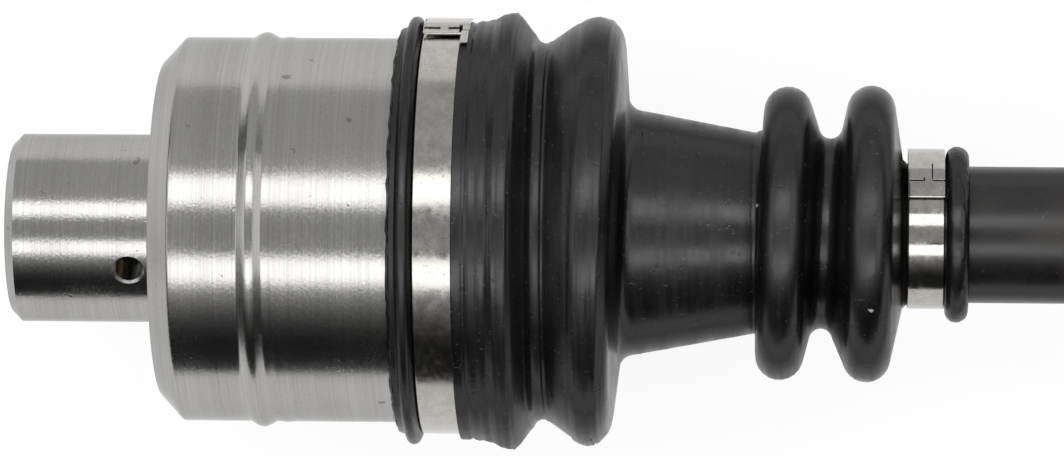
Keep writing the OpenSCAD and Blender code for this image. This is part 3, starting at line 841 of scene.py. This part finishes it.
@dataclass(frozen=True)
class JointCover:
    """Pressed steel can over the tripod joint, with a rolled bead."""

    front: float = 30.2
    back: float = 91.5
    bore_r: float = 18.8
    radius: float = 38.4
    wall: float = 1.6
    chamfer: float = 4.9
    bead: float = 50.6
    bead_height: float = 1.1
    bead_width: float = 5.6
    ridges: tuple[Ridge, ...] = (Ridge(55.3, 0.16, 0.9), Ridge(73.8, -0.05, 0.5))

    def outer_line(self) -> list[Point]:
        """The outside, from the sleeve to the open end.

        Returns:
            Points of (place, radius).
        """
        half = self.bead_width / 2
        return fold_line(
            [
                Stop(self.front, self.radius - self.chamfer - 1.2),
                Stop(self.front + 0.35, self.radius - self.chamfer + 0.2, 0.35),
                Stop(self.front + self.chamfer, self.radius, 0.9),
                Stop(self.bead - self.bead_width, self.radius),
                Stop(self.bead - half, self.radius, -1.1),
                Stop(self.bead, self.radius + self.bead_height, 2.2),
                Stop(self.bead + half, self.radius, -1.1),
                Stop(self.bead + self.bead_width, self.radius),
                Stop(self.back - 0.3, self.radius, 0.3),
                Stop(self.back, self.radius - 0.7),
            ]
        )

    def build(self) -> None:
        """Makes the cover and lets it ride on the housing."""
        inner = self.radius - self.wall
        half = self.bead_width / 2
        line = [
            (self.front, self.bore_r),
            *self.outer_line(),
            (self.back, inner),
            (self.bead + half, inner),
            (self.bead, inner + self.bead_height),
            (self.bead - half, inner),
            (self.front + self.wall / 2 + self.chamfer, inner),
            (self.front + self.wall, self.radius - self.wall / 2 - self.chamfer),
            (self.front + self.wall, self.bore_r),
        ]
        piece = lathe("cover_shell", ridged(line[:-7], self.ridges) + line[-7:], 192).done(COVER, 30)
        fit(piece, "joint_cover", Body.HOUSING)


@dataclass(frozen=True)
class BootEnd:
    """Where a boot sits on the bar: clamp seat and flange."""

    seat_start: float
    seat_end: float
    flange_end: float
    seat_r: float = 14.1
    neck_r: float = 12.15
    bar_r: float = 13.75
    flange_r: float = 17.5
    hook: float = 2.6
    step: float = 1.6
    flange_round: float = 2.3

    def line(self) -> list[Point]:
        """Outside of the seat and flange, from the folds to the bar's end, and back along the bore.

        Returns:
            Points of (place, radius) for an end that faces +X.
        """
        sign = 1 if self.flange_end > self.seat_start else -1
        length = sign * (self.flange_end - self.seat_end)
        points = fold_line(
            [
                Stop(0, self.seat_r),
                Stop(self.flange_round, self.flange_r, self.flange_round),
                Stop(length - self.flange_round, self.flange_r - 0.05, self.flange_round),
                Stop(length, self.bar_r),
            ],
            steps=10,
        )
        bore = length - self.hook
        points += [(bore, self.bar_r), (bore - self.step, self.neck_r)]
        return [(self.seat_end + sign * x, r) for x, r in points]


@dataclass(frozen=True)
class InnerBoot:
    """Boot of the tripod joint: lip, two large folds, a waist and two small folds."""

    clamp_start: float = 82.6
    clamp_end: float = 90.4
    seat_r: float = 40.0
    cover_r: float = 38.4
    cover_back: float = 91.5
    bend_end: float = 146.0
    wall: float = 1.6
    lip: float = 5.2
    lip_peak: float = 1.93
    lip_height: float = 2.8
    end: BootEnd = BootEnd(178.6, 186.2, 190.9)
    leans: tuple[Triple, ...] = (
        (119.5, 6.6, 0.8), (121.0, 4.4, 0.8), (154.17, 5.1, 1.7), (162.5, 2.6, 2.3), (171.1, 5.1, 0.8),
    )
    ridges: tuple[Ridge, ...] = (
        Ridge(92.5, -0.38, 0.35), Ridge(93.9, 0.20, 0.45), Ridge(96.6, -0.22, 0.6), Ridge(98.2, 0.14, 0.35),
        Ridge(100.8, 0.26, 0.22), Ridge(104.3, 0.18, 0.35), Ridge(107.4, 0.16, 0.3), Ridge(112.6, -0.10, 0.6),
        Ridge(115.9, 0.10, 0.5), Ridge(118.7, 0.24, 0.45), Ridge(131.0, 0.05, 0.5), Ridge(141.5, -0.04, 0.5),
    )

    def stops(self) -> list[Stop]:
        """Crests and valleys of the folds.

        Returns:
            Stops in order along the shaft.
        """
        return [
            Stop(94.1, 41.8, -2.0),
            Stop(99.93, 43.6, 2.4),
            Stop(106.54, 37.6, -2.0),
            Stop(116.1, 42.8, 5.0),
            Stop(125.4, 24.4, -3.2),
            Stop(148.35, 20.1, -1.0),
            Stop(154.17, 29.3, 4.8),
            Stop(162.50, 19.0, -2.3),
            Stop(171.10, 29.6, 4.8),
        ]

    def line(self) -> list[Point]:
        """The whole section, outside and bore.

        Returns:
            A closed line of (place, radius).
        """
        stops = self.stops()
        lip = fold_line(
            [
                Stop(self.clamp_start - self.lip, self.cover_r + 0.5),
                Stop(self.clamp_start - 4.3, self.seat_r + 0.5, 0.4),
                Stop(self.clamp_start - 3.7, self.seat_r + 0.7, -0.3),
                Stop(self.clamp_start - self.lip_peak, self.seat_r + self.lip_height, 1.2),
                Stop(self.clamp_start, self.seat_r),
            ]
        )
        folds = fold_line(
            [
                Stop(self.clamp_end, self.seat_r),
                Stop(self.clamp_end, self.seat_r + 1.75, 0.15),
                *stops,
                Stop(self.end.seat_start - 0.8, self.end.seat_r + 0.8),
                Stop(self.end.seat_start, self.end.seat_r),
            ],
            steps=10,
        )
        bore = fold_line([*stops, Stop(self.end.seat_start, self.end.seat_r)], self.wall, 5)
        return [
            (self.cover_back, self.cover_r),
            (self.clamp_start - self.lip, self.cover_r),
            *lip,
            *ridged(folds, self.ridges),
            *self.end.line(),
            (self.end.seat_start, self.end.neck_r),
            *reversed(bore),
        ]

    def seam(self) -> float:
        """Where the boot's two halves meet: midway on the straight run after the first valley.

        Returns:
            The place along the shaft.
        """
        valley, crest = self.stops()[2:4]
        run = fold_line([valley, crest], steps=1)
        return (run[1][0] + run[2][0]) / 2

    def build(self) -> None:
        """Makes both halves, each baked in place on no body."""
        seam = self.seam()
        line = self.line()
        for name, before in (("inner_boot_front", True), ("inner_boot_rear", False)):
            mesher = lathe(name, line, 160)
            mesher.roughen(lambda p: p.x < self.clamp_start - 4.6 and p.yz.length > self.cover_r + 0.2, 0.2, 4)
            mesher.roughen(lambda p: p.x > self.end.seat_end + 0.4 and p.yz.length > self.end.flange_r - 2, 0.07, 7)
            for place, reach, degrees in self.leans:
                mesher.lean(place, reach, degrees)
            piece = mesher.keep(seam, before).done(BOOT, 60)
            if before:
                bend(piece)
            else:
                bend(piece)
            fit(piece, "inner_boot")


@dataclass(frozen=True)
class OuterBoot:
    """Boot of the ball joint: five folds that grow towards the bell."""

    folds_start: float = 307.4
    folds_len: float = 78.0
    folds: int = 5
    last_r: float = 23.5
    first_r: float = 45.4
    depth: float = 7.0
    clamp_start: float = 385.4
    clamp_end: float = 393.2
    seat_r: float = 42.2
    bell_r: float = 40.6
    mouth: float = 383.0
    bend_start: float = 316.0
    bend_end: float = 384.0
    wall: float = 1.6
    lip: float = 5.8
    lip_peak: float = 1.93
    lip_height: float = 2.2
    end: BootEnd = BootEnd(307.4, 299.8, 295.1)

    def stops(self) -> list[Stop]:
        """Crests and valleys of the folds.

        Returns:
            Stops in order along the shaft.
        """
        pitch = self.folds_len / self.folds
        growth = (self.first_r - self.last_r) / (self.folds - 1)
        found: list[Stop] = []
        for k in range(self.folds):
            found.append(Stop(self.folds_start + (k + 0.45) * pitch, self.last_r + k * growth, 2.4))
            valley_r = self.last_r + (k + 0.45) * growth - self.depth
            found.append(Stop(self.folds_start + (k + 0.9) * pitch, valley_r, -1.7))
        return found[:-1]

    def line(self) -> list[Point]:
        """The whole section, outside and bore.

        Returns:
            A closed line of (place, radius).
        """
        stops = self.stops()
        outside = fold_line(
            [
                Stop(self.end.seat_start, self.end.seat_r),
                Stop(self.end.seat_start + 0.8, self.end.seat_r + 0.8),
                *stops,
                Stop(self.clamp_start, self.seat_r + 1.8),
                Stop(self.clamp_start, self.seat_r),
                Stop(self.clamp_end, self.seat_r),
            ],
            steps=10,
        )
        lip = fold_line(
            [
                Stop(self.clamp_end, self.seat_r),
                Stop(self.clamp_end + self.lip_peak, self.seat_r + self.lip_height, 1.2),
                Stop(self.clamp_end + self.lip, self.bell_r + 0.8),
            ]
        )
        bore = fold_line(
            [Stop(self.folds_start, self.end.seat_r), *stops, Stop(self.mouth, self.seat_r)], self.wall, 5
        )
        return [
            *reversed(self.end.line()),
            *outside,
            *lip[1:],
            (self.clamp_end + self.lip, self.bell_r),
            (self.mouth, self.bell_r),
            *reversed(bore),
            (self.folds_start, self.end.neck_r),
        ]

    def build(self) -> None:
        """Makes the boot, baked in place on no body."""
        piece = lathe("outer_boot_skin", self.line(), 160).done(BOOT, 60)
        bend(piece)
        fit(piece, "outer_boot")


@dataclass(frozen=True)
class Cut:
    """A slit or notch in a clamp's lap, by distance across the strip and angle before the outer end."""

    x0: float
    x1: float
    a0: float
    a1: float


@dataclass(frozen=True)
class Clamp:
    """Strip clamp: a band, and a lap with a raised tongue, slits and a cut end."""

    node: str
    body: Body
    start: float
    width: float
    seat_r: float
    rise: float
    wrap: float
    edge: float
    tongue_end: float
    ramp: float
    end_gap: float
    step: float
    cuts: tuple[Cut, ...]
    guard: Cut | None = None
    finish: Finish = STRIP
    band: float = 0.6
    lap_step: float = 5.0

    def strip_line(self) -> list[Point]:
        """The band's section, with rolled corners.

        Returns:
            A closed line of (place, radius).
        """
        x0, x1 = self.start, self.start + self.width
        r0, r1 = self.seat_r, self.seat_r + self.band
        c = 0.14
        return [
            (x0, r0 + c), (x0, r1 - c), (x0 + c * 0.4, r1 - c * 0.4), (x0 + c, r1),
            (x1 - c, r1), (x1 - c * 0.4, r1 - c * 0.4), (x1, r1 - c), (x1, r0 + c), (x1 - c, r0), (x0 + c, r0),
        ]

    def lap_r(self, degrees: float) -> float:
        """Middle radius of the lap: low where it starts, raised over the tongue, a little off at its end.

        Args:
            degrees: Angle about the axis.

        Returns:
            The radius in millimetres.
        """
        low = self.seat_r + 1.5 * self.band
        top = self.seat_r + self.rise - self.band / 2
        start = self.edge - self.wrap - self.lap_step
        up = min(max((degrees - start) / self.ramp, 0), 1)
        down = min(max((self.edge - self.tongue_end + self.ramp - degrees) / self.ramp, 0), 1)
        share = (1 - math.cos(math.pi * min(up, down))) / 2
        end = self.end_gap if degrees > self.edge - self.wrap / 2 else 0.0
        past = min(max((degrees - self.edge) / 2, 0), 1)
        return low + end + (top - low - end) * max(share, past)

    def build(self) -> None:
        """Makes the band and its lap, which ride together."""
        band = lathe(self.node + "_band", self.strip_line(), 180).done(self.finish, 40)
        lap = self.build_lap()
        for piece in (band, lap):
            fit(piece, self.node, self.body)

    def build_lap(self) -> bpy.types.Object:
        """The outer layer with its tongue, slits and side guard.

        Returns:
            The lap's object.
        """
        first = self.edge - self.wrap - 2 * self.lap_step
        last = self.edge if self.guard is None else self.edge - self.guard.a0
        count = round((last - first) / self.step)
        angles = [first + (last - first) * k / count for k in range(count + 1)]
        reach = self.width if self.guard is None else self.guard.x1
        marks = {self.width, reach, *(c.x0 for c in self.cuts), *(c.x1 for c in self.cuts)}
        mesher = Mesher(self.node + "_lap").line([on_arc(self.start, self.lap_r(a), a) for a in angles])
        mesher.sweep(sorted(marks - {0.0}))
        for cut in self.cuts:
            mesher.cut_out(lambda p: self.holds(cut, p))
        if self.guard is not None:
            mesher.cut_out(lambda p: p.x > self.start + self.width and not self.holds(self.guard, p))
            mesher.cut_out(lambda p: p.x < self.start + self.width and angle_of(p) > self.edge)
        mesher.weld()
        mesher.modify("SOLIDIFY", thickness=0.85 * self.band * MM, offset=0)
        mesher.modify("BEVEL", width=0.07 * MM, segments=2, limit_method="ANGLE", angle_limit=math.radians(50))
        return mesher.done(self.finish, 40)

    def holds(self, cut: Cut, point: Vector) -> bool:
        """Whether a point, in millimetres, lies inside a cut of this lap."""
        before_end = self.edge - angle_of(point)
        return cut.x0 < point.x - self.start < cut.x1 and cut.a0 < before_end < cut.a1


@dataclass(frozen=True)
class ThrustSpring:
    """Coil behind the thrust cup."""

    start: float = 32.5
    end: float = 50.4
    radius: float = 8.2
    wire_r: float = 0.7
    turns: float = 2.8

    def build(self) -> None:
        """Makes the coil, baked in place on no body."""
        mesher = Mesher("thrust_coil")
        circle = [
            Vector(
                (
                    self.start + self.wire_r * (1 + math.sin(TURN * k / 12)),
                    self.radius + self.wire_r * math.cos(TURN * k / 12),
                    0,
                )
            )
            for k in range(13)
        ]
        mesher.line(circle).weld()
        rise = (self.end - self.start - 2 * self.wire_r) * MM
        mesher.modify("SCREW", angle=TURN * self.turns, screw_offset=rise, axis="X", steps=96, render_steps=96)
        mesher.edit()
        bpy.ops.mesh.select_all(action="SELECT")
        bpy.ops.mesh.fill_holes(sides=16)
        piece = mesher.weld().done(SPRING, 60)
        bend(piece)
        fit(piece, "thrust_spring")


@dataclass(frozen=True)
class WheelStub:
    """The bell with its splined stub, and the thread on its end."""

    mouth: float = 383.0
    seat_r: float = 40.6
    boot_stop: float = 399.0
    body_end: float = 413.0
    body_r: float = 41.5
    shoulder: float = 425.0
    shoulder_r: float = 33.0
    journal: float = 431.0
    journal_r: float = 27.5
    step: float = 435.6
    step_r: float = 22.0
    skin: float = 1.0
    shrink: float = 0.985
    thread_start: float = 473.2
    thread_end: float = 495.2
    thread_r: float = 10.0
    pitch: float = 1.5
    depth: float = 0.92
    chamfer: float = 1.5
    overlap: float = 1.1
    relief: float = 1.2

    def build(self) -> None:
        """Makes the bell from its CAD shape and gives it a cut thread."""
        cut = self.thread_start - self.overlap
        body = Mesher("bell_body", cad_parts["bell_and_stub"]).weld().keep(cut, True)
        body.select(self.is_outside)
        bpy.ops.transform.resize(value=(1, self.shrink, self.shrink), center_override=(0, 0, 0))
        body.select(lambda p: abs(p.x - self.step) < NEAR and p.yz.length > self.step_r - 0.1)
        bpy.ops.transform.translate(value=(-0.4 * self.skin * MM, 0, 0))
        bell = body.done(BELL, 25)
        skin = lathe("bell_skin", self.skin_line(), 192).done(BELL, 30)
        thread = self.build_thread(cut)
        for piece in (bell, skin, thread):
            fit(piece, "bell_and_stub", Body.BELL)

    def corners(self) -> list[Point]:
        """The bell's outside without its roundings, from the mouth to the stub.

        Returns:
            Points of (place, radius).
        """
        return [
            (self.mouth, self.seat_r), (self.boot_stop, self.seat_r), (self.boot_stop, self.body_r),
            (self.body_end, self.body_r), (self.shoulder, self.shoulder_r), (self.journal, self.journal_r),
            (self.step, self.journal_r),
        ]

    def is_outside(self, point: Vector) -> bool:
        """Whether a vertex, in millimetres, lies on the outside that the skin covers."""
        return any(abs(point.x - x) < NEAR and abs(point.yz.length - r) < NEAR for x, r in self.corners())

    def skin_line(self) -> list[Point]:
        """Outside of the bell with turned roundings, and the line a wall's depth below it.

        Returns:
            A closed line of (place, radius).
        """
        middle = Stop((self.boot_stop + self.body_end) / 2, self.body_r)
        edge = Stop(self.boot_stop + 0.4, self.body_r, 0.35)
        outer = [
            (self.mouth + 0.1, self.seat_r - 0.3),
            (self.mouth + 0.4, self.seat_r),
            (self.boot_stop, self.seat_r),
            *fold_line([Stop(self.boot_stop, self.body_r - 0.6), edge, middle]),
            *fold_line([middle, *self.shoulder_stops(), Stop(self.step, self.journal_r - 1.2)])[1:],
            (self.step, self.step_r),
        ]
        deep = self.skin
        inner = [
            (self.step - deep, self.step_r), (self.step - deep, self.journal_r - deep),
            (self.journal - 0.5, self.journal_r - deep), (self.shoulder - 0.6, self.shoulder_r - deep),
            (self.body_end - 0.5, self.body_r - deep), (self.boot_stop + deep, self.body_r - deep),
            (self.boot_stop + deep, self.seat_r - deep), (self.mouth + 0.1, self.seat_r - deep),
        ]
        return [*outer, *inner]

    def shoulder_stops(self) -> list[Stop]:
        """Roundings between the bell's body and its journal.

        Returns:
            Stops in order along the shaft.
        """
        return [
            Stop(self.body_end - 0.6, self.body_r, 2.0),
            Stop(self.shoulder - 1.9, self.shoulder_r + 0.67, 3.0),
            Stop(self.journal + 0.8, self.journal_r, -2.0),
            Stop(self.step - 0.6, self.journal_r, 0.6),
        ]

    def build_thread(self, cut: float) -> bpy.types.Object:
        """The threaded end.

        Args:
            cut: Where the bell's mesh stops.

        Returns:
            The thread's object.
        """
        root = self.thread_r - self.depth
        start, end = self.thread_start + 0.4, self.thread_end - self.chamfer
        turns = round((end - start) / self.pitch)
        step = (end - start) / turns
        low = self.thread_r - self.relief
        line = [(cut, low), (self.thread_start, low), (start, root)]
        for k in range(turns):
            at = start + k * step
            line += [(at + 0.42 * step, self.thread_r), (at + 0.58 * step, self.thread_r), (at + step, root)]
        line += [(end, root), (self.thread_end, root - 0.6), (self.thread_end, 3.0), (self.thread_end - 3.4, 0.05)]
        loop = [Vector((x, r, 0)) for x, r in line]
        return Mesher("stub_thread").line(loop).spin(96).done(THREAD, 30)


# ---------------------------------------------------------------- stage


@dataclass(frozen=True)
class StripLight:
    """A long softbox that runs beside the shaft, above it."""

    name: str
    degrees: float
    radiance: float
    width: float = 0.25
    length: float = 1.1
    distance: float = 0.8
    middle: float = 0.10

    def build(self) -> None:
        """Makes the light, aimed at the shaft's axis."""
        data = bpy.data.lights.new(self.name, "AREA")
        data.shape = "RECTANGLE"
        data.size, data.size_y = self.length, self.width
        data.energy = self.radiance * math.pi * self.length * self.width
        light = bpy.data.objects.new(self.name, data)
        bpy.context.scene.collection.objects.link(light)
        a = math.radians(self.degrees)
        light.location = (self.middle, self.distance * math.sin(a), self.distance * math.cos(a))
        light.rotation_euler = (-a, 0, 0)
        light.visible_camera = False


@dataclass(frozen=True)
class Card:
    """A flat card beside or above the shaft that shows only in reflections."""

    name: str
    degrees: float
    distance: float
    width: float
    radiance: float
    top_radiance: float = 0.0
    length: float = 2.2
    middle: float = 0.12

    def build(self) -> None:
        """Hangs the card at an angle from upright towards +Y, facing the shaft."""
        deselect_all()
        a = math.radians(self.degrees)
        place = (self.middle, self.distance * math.sin(a), self.distance * math.cos(a))
        bpy.ops.mesh.primitive_plane_add(size=1, location=place, rotation=(-a, 0, 0))
        card = bpy.context.object
        card.name = self.name
        card.scale = (self.length, self.width, 1)
        material = bpy.data.materials.new(self.name)
        material.use_nodes = True
        graph = Graph(material.node_tree)
        along = graph.add("SeparateXYZ", {0: graph.add("TexCoord").outputs["Object"]}).outputs[1]
        rise = graph.math("POWER", graph.span(along, -0.1, 0.5), 2.4)
        strength = graph.math("ADD", graph.math("MULTIPLY", rise, self.top_radiance), self.radiance)
        glow = graph.add("Emission", {"Color": (1.0, 1.0, 1.0), "Strength": strength}).outputs[0]
        graph.add("OutputMaterial", {"Surface": glow})
        card.data.materials.append(material)
        card.visible_camera = False
        card.visible_shadow = False


@dataclass(frozen=True)
class Stage:
    """White table, softboxes, cards and the camera of the photograph."""

    floor: float = -0.0455
    floor_glow: float = 0.87
    paper: float = 0.20
    room: float = 0.12
    camera_at: Triple = (0.1702, 0.00066, 1.25)
    target: Triple = (0.10384, 0.00066, 0.0)
    lens: float = 211.8
    roll: float = 0.45

    def build(self) -> None:
        """Makes everything that isn't part of the object."""
        self.build_floor()
        self.build_world()
        StripLight("softbox_far", 22.5, 2.7).build()
        StripLight("softbox_near", -24.0, 2.7, 0.23).build()
        Card("ceiling_card", 0, 0.95, 0.44, 0.46, length=1.3).build()
        Card("grey_card", 62, 0.64, 0.74, 0.58, length=1.1).build()
        Card("dark_card", -63, 0.62, 0.72, 0.022, 0.6).build()
        Card("left_end_card", 8, 0.75, 1.6, 1.3, length=0.85, middle=-0.97).build()
        Card("right_end_card", 8, 0.75, 1.6, 1.3, length=0.85, middle=1.17).build()
        self.build_camera()

    def build_floor(self) -> None:
        """Lays the white table, which still takes the object's shadow."""
        deselect_all()
        bpy.ops.mesh.primitive_plane_add(size=12, location=(0.12, 0, self.floor))
        table = bpy.context.object
        table.name = "table"
        material = bpy.data.materials.new("white_table")
        material.use_nodes = True
        graph = Graph(material.node_tree)
        path = graph.add("LightPath").outputs
        seen = graph.math("MAXIMUM", path["Is Camera Ray"], path["Is Glossy Ray"])
        seen = graph.math("MAXIMUM", seen, path["Is Transmission Ray"])
        strength = graph.math("MULTIPLY", seen, self.floor_glow)
        glow = graph.add("Emission", {"Color": (1.0, 1.0, 1.0), "Strength": strength}).outputs[0]
        paper = graph.add("BsdfDiffuse", {"Color": (self.paper, self.paper, self.paper)}).outputs[0]
        both = graph.add("AddShader", {0: glow, 1: paper}).outputs[0]
        graph.add("OutputMaterial", {"Surface": both})
        table.data.materials.append(material)

    def build_world(self) -> None:
        """A grey room that the camera sees as white."""
        world = bpy.data.worlds.new("studio")
        bpy.context.scene.world = world
        world.use_nodes = True
        graph = Graph(world.node_tree)
        path = graph.add("LightPath").outputs
        room = (self.room, self.room, self.room)
        grey = graph.add("Background", {"Color": room, "Strength": 1}).outputs[0]
        white = graph.add("Background", {"Color": (1.0, 1.0, 1.0), "Strength": 1}).outputs[0]
        mixed = graph.add("MixShader", {0: path["Is Camera Ray"], 1: grey, 2: white}).outputs[0]
        graph.add("OutputWorld", {"Surface": mixed})

    def build_camera(self) -> None:
        """Sets up the overhead camera of the photograph."""
        data = bpy.data.cameras.new("camera")
        data.lens = self.lens
        data.sensor_width = 36
        camera = bpy.data.objects.new("camera", data)
        bpy.context.scene.collection.objects.link(camera)
        back = (Vector(self.camera_at) - Vector(self.target)).normalized()
        right = Vector((0, 1, 0)).cross(back).normalized()
        up = back.cross(right)
        turn = Matrix((right, up, back)).transposed().to_4x4()
        roll = Matrix.Rotation(math.radians(self.roll), 4, "Z")
        camera.matrix_world = Matrix.Translation(Vector(self.camera_at)) @ turn @ roll
        bpy.context.scene.camera = camera
        bpy.context.scene.view_settings.view_transform = "Standard"


# ---------------------------------------------------------------- the whole part


class DriveShaft:
    """The whole part: CAD nodes that keep their shape, and the new pieces around them."""

    def __init__(self) -> None:
        """Lists the sub-assemblies with their sizes."""
        inner, outer = Body.HOUSING, Body.BELL
        large = {
            "rise": 2.6, "wrap": 42.5, "edge": 19.5, "tongue_end": 6.0, "ramp": 5.0, "end_gap": 0.45, "step": 0.5,
            "cuts": (
                Cut(0.2, 3.4, 2.5, 3.5), Cut(5.0, 7.5, 2.5, 3.5), Cut(7.2, 7.8, 0.4, 4.5),
                Cut(0.0, 0.4, 6.5, 11.0),
            ),
            "guard": Cut(7.8, 9.3, -9.5, 18.0),
        }
        small = {
            "rise": 2.9, "wrap": 89.0, "edge": 62.0, "tongue_end": 24.0, "ramp": 28.0, "end_gap": 0.25, "step": 1.0,
            "cuts": (
                Cut(0.0, 3.1, 12, 13), Cut(3.1, 3.3, 12, 15), Cut(4.9, 7.3, 12, 13),
                Cut(4.7, 4.9, 12, 27),
            ),
            "finish": BRIGHT_STRIP,
        }
        self.parts = [
            JointCover(),
            InnerBoot(),
            OuterBoot(),
            Clamp("inner_boot_large_clamp", inner, start=82.6, width=7.8, seat_r=40.0, **large),
            Clamp("outer_boot_large_clamp", outer, start=385.4, width=7.8, seat_r=42.2, **large),
            Clamp("inner_boot_small_clamp", Body.SHAFT, start=178.75, width=7.3, seat_r=14.25, **small),
            Clamp("outer_boot_small_clamp", Body.SHAFT, start=299.95, width=7.3, seat_r=14.25, **small),
            ThrustSpring(),
            WheelStub(),
        ]

    def dress_nodes(self) -> None:
        """Gives each CAD node that stays its finish."""
        for finish, names in FINISHED_NODES:
            for name in names.split():
                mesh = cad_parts[name].data
                if not mesh.materials:
                    mesh.materials.append(None)
                for index in range(len(mesh.materials)):
                    mesh.materials[index] = finish.material()

    def build(self) -> None:
        """Makes and dresses every piece."""
        self.dress_nodes()
        for part in self.parts:
            part.build()
            LOG.info("built %s", type(part).__name__)


def main() -> None:
    """Builds the part and its stage."""
    logging.basicConfig(level=logging.INFO, format="%(name)s: %(message)s")
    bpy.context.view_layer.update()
    DriveShaft().build()
    Stage().build()
    deselect_all()


if __name__ == "__main__":
    main()
